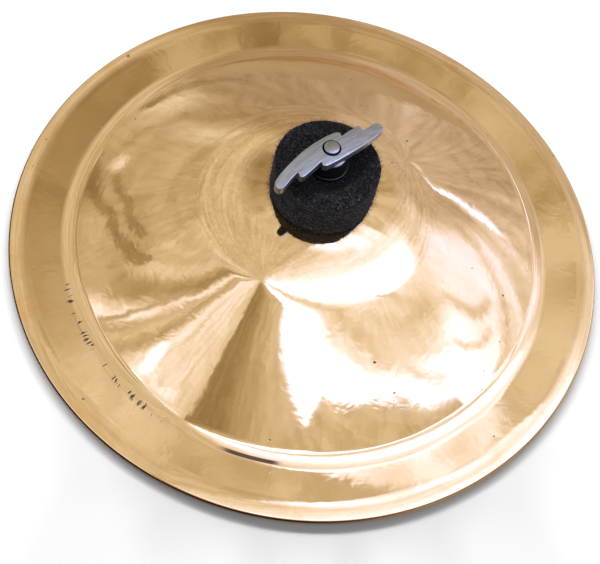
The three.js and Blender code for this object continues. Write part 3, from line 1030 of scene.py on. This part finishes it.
class CYMBAL_OT_stage(bpy.types.Operator):
    """Sets up the camera, the floor, the lamps and the light tent"""

    bl_idname = "cymbal.stage"
    bl_label = "Stage"

    def execute(self, context):
        size = context.scene.cymbal_stage
        add_camera(size)
        half = size.floor_half
        corners = [(-half, -half, 0), (half, -half, 0), (half, half, 0), (-half, half, 0)]
        floor = mesh_piece("floor", corners, [(0, 1, 2, 3)], floor_finish(size))
        tent = add_tent(size)
        add_world()
        add_lamps(floor)
        context.scene.view_settings.view_transform = "Standard"
        return {"FINISHED"}


def add_camera(size):
    """The camera stands in front of the bell and looks down at it, with the picture turned"""
    aim = Vector((size.aim_aside, -size.aim_ahead, size.aim_height))
    toward = Vector((0, -math.cos(size.camera_elevation), math.sin(size.camera_elevation)))
    data = bpy.data.cameras.new("camera")
    data.lens = size.camera_lens
    data.sensor_width = 36
    camera = bpy.data.objects.new("camera", data)
    bpy.context.scene.collection.objects.link(camera)
    camera.location = aim + toward * size.camera_distance
    upright = (-toward).to_track_quat("-Z", "Y").to_matrix().to_4x4()
    roll = Matrix.Rotation(size.camera_roll, 4, "Z")
    camera.matrix_world = Matrix.Translation(camera.location) @ upright @ roll
    bpy.context.scene.camera = camera


def cloth_glow(paint, light, cool=0):
    """The light that cloth sends to the metal: warm where it is dim, and bluer where it is over 1"""
    light = light | 0.02
    blue = (light ** 1.4 + ((light | 1) - 1) * 0.9) * (cool + 1)
    colour = paint.node("CombineColor", None, {"Red": light ** 0.80, "Green": light, "Blue": blue})
    return paint.node("Emission", None, {"Color": colour, "Strength": 1})


def floor_finish(size):
    """White paper. To reflections it glows as dim cloth, with a painted shadow, nearly black, under the near
    left of the rim
    """
    material, paint = new_paint("floor_paper")
    place = paint.place()
    paper = paint.node("BsdfDiffuse", None, {
        "Color": opaque(size.floor_colour), "Normal": paint.bump(paint.grain(place, 900, 2), 0.02 * MM),
    })
    # Painted shadow for reflections: the glow falls to near black over the near left half of the floor, round
    # the rim
    near_left = paint.along(place, "X") * -0.77 - paint.along(place, "Y") * 0.64
    dim = near_left.ramp(-0.01, 0.06, 0.45, 0.02) * (0.6 + paint.grain(place, 18, 4, 0.6) * 0.8)
    seen = paint.node("LightPath", output="Is Glossy Ray")
    paint.surface("MixShader", {0: seen, 1: paper, 2: cloth_glow(paint, dim)})
    return material


def add_world():
    """Plain white all round: full white to the camera, and less as light"""
    world = bpy.data.worlds.new("studio")
    bpy.context.scene.world = world
    world.use_nodes = True
    paint = Paint(world.node_tree)
    white = opaque((1, 1, 1))
    light, backdrop = (paint.node("Background", None, {"Color": white, "Strength": s}) for s in (0.25, 1))
    seen = paint.node("LightPath", output="Is Camera Ray")
    shown = paint.node("MixShader", None, {0: seen, 1: light, 2: backdrop})
    paint.node("OutputWorld", None, {"Surface": shown})


def add_lamp(name, kind, place, aim, power, link, floor, **settings):
    """A lamp that metal doesn't mirror. Its link to the floor lights only the floor, or all but the floor"""
    data = bpy.data.lights.new(name, kind)
    data.energy = power
    for setting, value in settings.items():
        setattr(data, setting, value)
    lamp = bpy.data.objects.new(name, data)
    lamp.location = place
    lamp.rotation_euler = (Vector(aim) - Vector(place)).to_track_quat("-Z", "Y").to_euler()
    lamp.visible_glossy = False
    bpy.context.scene.collection.objects.link(lamp)
    linked = bpy.data.collections.new("lit_by_" + name)
    linked.objects.link(floor)
    linked.collection_objects[0].light_linking.link_state = link
    lamp.light_linking.receiver_collection = linked


BELL_MIDDLE = (0, 0, 0.03)
# Soft lamps that light all but the floor: [name, place, power, width]
SOFT_LAMPS = [("key", (-0.35, 0.45, 0.95), 10, 0.35), ("front", (0.5, -0.9, 0.5), 3, 0.5)]
# Low lamps behind that light the floor: [degrees to the right, degrees up, width in degrees, share of light]
SWEEPS = [
    (-60, 17, 6, 0.08), (-43, 19, 6, 0.17), (-27, 20.5, 6, 0.18), (-12, 21, 6, 0.22), (4, 20, 6, 0.18),
    (20, 18.5, 6, 0.16), (38, 16.5, 6, 0.05),
]


def add_lamps(floor):
    """A lamp above and behind, a weak one in front, and low ones behind that draw the floor's shadow"""
    for name, place, power, width in SOFT_LAMPS:
        add_lamp(name, "AREA", place, BELL_MIDDLE, power, "EXCLUDE", floor, shape="DISK", size=width)
    for i, (aside, up, width, share) in enumerate(SWEEPS):
        turn, rise = math.radians(aside), math.radians(up)
        place = (math.sin(turn) * math.cos(rise), math.cos(turn) * math.cos(rise), math.sin(rise))
        power = share * math.pi / math.sin(rise)
        add_lamp(f"sweep_{i}", "SUN", place, (0, 0, 0), power, "INCLUDE", floor, angle=math.radians(width))


# How light the cloth of the tent is, from an open gap to a window
GAP, DIM, SHADE, DRAPE = 0.34, 0.45, 0.55, 0.66
CLOTH, PALE, BRIGHT, AIRY, WINDOW = 0.80, 1.0, 1.3, 1.65, 2.4

# The cloth hangs in gores from the peak: [heading of a gore's edge in degrees, how light it is there]
FRONT_GORES = [
    (0, WINDOW), (15, WINDOW), (30, AIRY), (50, BRIGHT), (75, CLOTH), (110, CLOTH), (178, CLOTH),
    (187, PALE), (193, CLOTH), (198, PALE), (202, DIM), (204.5, DIM), (207, PALE), (210, AIRY),
    (212.5, SHADE), (215, PALE), (218.5, SHADE), (222, BRIGHT), (235, BRIGHT), (262, PALE), (265, GAP),
    (290, DIM), (298, DRAPE), (313, CLOTH), (316, DRAPE), (318, WINDOW), (333, WINDOW), (337, BRIGHT),
    (341, PALE), (347, BRIGHT), (354, WINDOW),
]
BACK_GORES = [
    (0, BRIGHT), (35, PALE), (70, DRAPE), (110, DIM), (230, DIM), (238, DRAPE), (268, SHADE),
    (280, CLOTH), (292, PALE), (297, BRIGHT), (304, PALE), (308, AIRY), (314, PALE), (318, AIRY),
    (335, AIRY), (350, BRIGHT),
]
# The same for the cloth overhead, which the flange mirrors
OVERHEAD_GORES = [
    (0, DRAPE), (5, CLOTH), (18, CLOTH), (22, SHADE), (50, DRAPE), (62, SHADE), (90, SHADE), (95, DIM),
    (106, SHADE), (112, GAP), (136, DRAPE), (148, DIM), (165, GAP), (200, DIM), (218, SHADE), (240, PALE),
    (258, DRAPE), (275, CLOTH), (300, CLOTH), (332, PALE), (350, CLOTH),
]

# What hangs over the gores: [kind, softness, width or half sizes in degrees, how light it is, points].
# A point is its heading from the peak and its distance from it, in degrees
DRAPES = [
    ("panel", 4, DRAPE, (212, 76), (182, 76), (178, 128), (212, 128)),
    ("panel", 0.6, CLOTH, (312, 90), (318, 122), (326, 116), (331, 98), (330, 81), (325, 62), (313, 60)),
    ("panel", 3, GAP, (267, 30), (268, 50), (287, 50), (284, 32)),
    ("fold", 2.4, GAP, (208.5, 114), (205, 107), (199.5, 96), (197.7, 80.5), (197.4, 70.4)),
    ("fold", 1.6, GAP, (201.7, 108.5), (197, 98.7), (194.5, 81)),
    ("fold", 1.2, DIM, (211, 66), (207, 52), (206, 36)),
    ("fold", 1.0, SHADE, (219, 46), (216, 34), (213, 20)),
    ("fold", 1.3, AIRY, (228, 43), (240, 41), (250, 38)),
    ("fold", 2.4, PALE, (347, 38), (342, 70), (336, 100), (330, 116)),
    ("fold", 2.2, PALE, (352, 95), (345, 116), (337, 134), (320, 143)),
    ("fold", 1.8, PALE, (338, 105), (333, 125), (321, 136)),
    ("fold", 2.6, GAP, (212, 146), (214, 136), (211, 126)),
    ("glow", (4, 5), CLOTH, (201, 124)),
    ("glow", (2.5, 3.5), BRIGHT, (203.5, 112.5)),
    ("glow", (3, 4), WINDOW, (226, 43)),
    ("fold", 3, PALE, (262, 172), (277, 170), (291, 163), (305, 153)),
    ("fold", 5, WINDOW, (288, 168), (294, 156)),
]
# The overhead cloth is a ring: its middle and half widths in degrees from overhead, to the right and back
RING_MIDDLE = (4, 57)
RING_HALVES = (36.5, 28.5)
# Corners of the window in it, as shares of the half widths
WINDOW_SHAPE = [(0.45, -0.75), (-0.1, -1.9), (1.9, -1.9), (1.9, -1.0), (0.68, -0.58)]


def tent_point(heading, distance):
    """A point of the flat map of the tent, which has the peak at its middle"""
    return distance * math.cos(math.radians(heading)), distance * math.sin(math.radians(heading))


class TentMap:
    """Where a point of the tent lies on a flat map round the peak, and on one of the cloth overhead"""

    def __init__(self, paint, size):
        self.paint = paint
        turn, rise = size.peak_turn, size.peak_rise
        peak = Vector((-math.sin(turn) * math.cos(rise), -math.cos(turn) * math.cos(rise), math.sin(rise)))
        upward = Vector((0, peak.z, -peak.y)).normalized()
        self.place = paint.vector("NORMALIZE", paint.place())
        across, up = self.share(upward.cross(peak)), self.share(upward)
        self.angle = paint.maths("ARCCOSINE", self.share(peak)) * math.degrees(1)
        side = hypotenuse(across, up) + TINY
        across, up = across / side, up / side
        self.ray = paint.point(across, up)

        # The folds wander more, the farther they are from the peak
        wander = paint.node("TexNoise", None, {
            "Vector": self.place, "Scale": 6, "Detail": 2, "Roughness": 0.5,
        }, output="Color")
        drift = self.angle.ramp(2, 30, 0, 1.8)
        aside, above = ((paint.along(wander, axis) - 0.5) * drift for axis in "XY")
        x, y = across * self.angle + aside, up * self.angle + above
        # A flat place has a height of 1, so that one product with a line gives the distance from it
        self.flat = paint.point(x, y, 1)
        self.heading = self.turn_share(x, y)

        x, y = paint.along(self.place, "X"), paint.along(self.place, "Y")
        lean = paint.maths("ARCCOSINE", paint.along(self.place, "Z")) * math.degrees(1)
        stretch = lean / (hypotenuse(x, y) + TINY)
        x, y = (
            (part * stretch - middle) / half for part, middle, half in zip((x, y), RING_MIDDLE, RING_HALVES)
        )
        self.reach = hypotenuse(x, y)
        self.turn = self.turn_share(x, y)
        self.overhead = paint.point(x + aside * 0.01, y + above * 0.01, 1)
        self.ring = paint.point(x / (self.reach + TINY), y / (self.reach + TINY), self.reach * 0.25)

    def share(self, axis):
        return self.paint.vector("DOT_PRODUCT", self.place, tuple(axis), output="Value")

    def turn_share(self, x, y):
        """The heading of a point, as a share of a turn"""
        return self.paint.maths("ARCTAN2", y, x) / (2 * math.pi)

    def gores(self, heading, stops):
        """How light the gores are at a heading"""
        heading = self.paint.maths("FRACT", heading)
        lights = [(degrees / 360, (light, light, light)) for degrees, light in [*stops, (360, stops[0][1])]]
        return self.paint.along(self.paint.node("ValToRGB", {"stops": lights}, {0: heading}), "X")

    def panel(self, flat, soft, corners):
        """Inside a convex outline, counterclockwise"""
        mask = None
        for (x0, y0), (x1, y1) in zip(corners, [*corners[1:], corners[0]]):
            length = math.hypot(x1 - x0, y1 - y0)
            right, ahead = (y0 - y1) / length, (x1 - x0) / length
            line = (right, ahead, -x0 * right - y0 * ahead)
            side = self.paint.vector("DOT_PRODUCT", flat, line, output="Value")
            mask = side & mask if mask else side
        return mask.ramp(-soft, soft)

    def fold(self, flat, width, points):
        """Near a line through points"""
        paint, nearest = self.paint, None
        for (x0, y0), (x1, y1) in zip(points, points[1:]):
            dx, dy = x1 - x0, y1 - y0
            square = dx * dx + dy * dy
            line = (dx / square, dy / square, -(x0 * dx + y0 * dy) / square)
            share = paint.vector("DOT_PRODUCT", flat, line, output="Value")
            share = paint.maths("MULTIPLY", share, 1, clamp=True)
            along = paint.node("VectorMath", {"operation": "SCALE"}, {0: (dx, dy, 0), "Scale": share})
            gap = paint.vector("DISTANCE", flat, paint.vector("ADD", along, (x0, y0, 1)), output="Value")
            nearest = gap & nearest if nearest else gap
        return nearest.ramp(width, width * 0.25, 0, 0.9)

    def glow(self, flat, halves, points):
        """Inside a soft ellipse"""
        inside = self.paint.in_grains(flat, (*halves, 1), middle=(*points[0], 1))
        return self.paint.vector("LENGTH", inside, output="Value").ramp(1.27, 0.3)


def tent_light(size):
    """White cloth lit from outside, in gores that run to the peak, with a dark gap at its near left foot"""
    material, paint = new_paint("tent_cloth")
    material.cycles.emission_sampling = "NONE"
    tent = TentMap(paint, size)
    cloudy = paint.grain(tent.place, 3.2, 4, 0.55, 0.6) - 0.5
    creases = paint.vector("MULTIPLY_ADD", tent.ray, (11, 11, 11), tent.place)
    creased = paint.grain(creases, 1.6, 5, 0.65) - 0.5

    front = tent.gores(tent.heading, FRONT_GORES)
    back = tent.gores(tent.heading, BACK_GORES)
    cloth = paint.blend(tent.angle.ramp(122, 137), front, back)
    cloth = paint.blend(tent.angle.ramp(1, 7), CLOTH, cloth)
    cloth = paint.blend(tent.angle.ramp(150, 161), cloth, DRAPE)
    for kind, spread, light, *points in DRAPES:
        share = getattr(tent, kind)(tent.flat, spread, [tent_point(*point) for point in points])
        cloth = paint.blend(share, cloth, light)
    near = paint.along(tent.place, "Y") * -1
    near_left = paint.along(tent.place, "X") * -0.5 + near * 0.85
    gap_side = near_left.ramp(0.05, 0.25) | near.ramp(0.05, 0.3, 0, 0.7)
    gap = paint.along(tent.place, "Z").ramp(-0.66, -0.76) * gap_side
    wrinkled = abs(paint.grain(tent.place, 7, 7, 0.68, 1.2) - 0.5).ramp(0, 0.07, -0.15, 0.04)
    calm = cloth.ramp(1.1, 2.0, 1, 0.3)
    texture = 1 + (cloudy * 0.3 + creased * 1.15 + wrinkled) * tent.angle.ramp(0, 12) * calm
    cloth = cloth * texture * (1 - gap * 0.95)

    ovals = (paint.grain(tent.ring, 5, 1.5, 0.5, 0.6).ramp(0.38, 0.60) - 0.5) * 0.3
    overhead = tent.gores(tent.turn + cloudy * 0.02, OVERHEAD_GORES)
    window = tent.panel(tent.overhead, 0.03, WINDOW_SHAPE)
    overhead = paint.blend(window, overhead, tent.reach.ramp(1, 1.4, 1.5, WINDOW))
    overhead = overhead * (0.95 + cloudy * 0.4 + ovals)
    cool = tent.angle.ramp(125, 155) * 0.15
    paint.surface("MixShader", {
        0: tent.reach.ramp(2.0, 1.2), 1: cloth_glow(paint, cloth, cool), 2: cloth_glow(paint, overhead),
    })
    return material


def add_tent(size):
    """A dome over the bell that only reflections see"""
    radius, steps = size.tent_radius, 48
    dome = [(radius * math.sin(a), -radius * math.cos(a)) for a in spaced(0, math.pi, steps)]
    corners, faces = turned(dome, 2 * steps)
    tent = mesh_piece("light_tent", corners, faces, tent_light(size))
    tent.location = (-0.018, 0.015, 0.302)
    for ray in ("camera", "diffuse", "shadow", "volume_scatter"):
        setattr(tent, "visible_" + ray, False)
    return tent


class CYMBAL_PT_pieces(bpy.types.Panel):
    """Lists the steps that build the cymbal"""

    bl_label = "Bell cymbal"
    bl_idname = "CYMBAL_PT_pieces"
    bl_space_type = "VIEW_3D"
    bl_region_type = "UI"
    bl_category = "Cymbal"

    def draw(self, context):
        for step in STEPS:
            self.layout.operator(step.bl_idname)


STEPS = [
    CYMBAL_OT_stage, CYMBAL_OT_bell, CYMBAL_OT_felts, CYMBAL_OT_washers, CYMBAL_OT_rod_and_post,
    CYMBAL_OT_wing_nut,
]
SETTINGS = {
    "cymbal_bell": BellSettings,
    "cymbal_felts": FeltSettings,
    "cymbal_wing": WingSettings,
    "cymbal_rod": RodSettings,
    "cymbal_stage": StageSettings,
}


def register():
    for each in [*SETTINGS.values(), *STEPS, CYMBAL_PT_pieces]:
        bpy.utils.register_class(each)
    for name, settings in SETTINGS.items():
        setattr(bpy.types.Scene, name, PointerProperty(type=settings))


def unregister():
    for name in SETTINGS:
        delattr(bpy.types.Scene, name)
    for each in [CYMBAL_PT_pieces, *reversed(STEPS), *reversed(SETTINGS.values())]:
        bpy.utils.unregister_class(each)


def main():
    register()
    for step in STEPS:
        group, name = step.bl_idname.split(".")
        getattr(getattr(bpy.ops, group), name)()


if __name__ == "__main__":
    main()
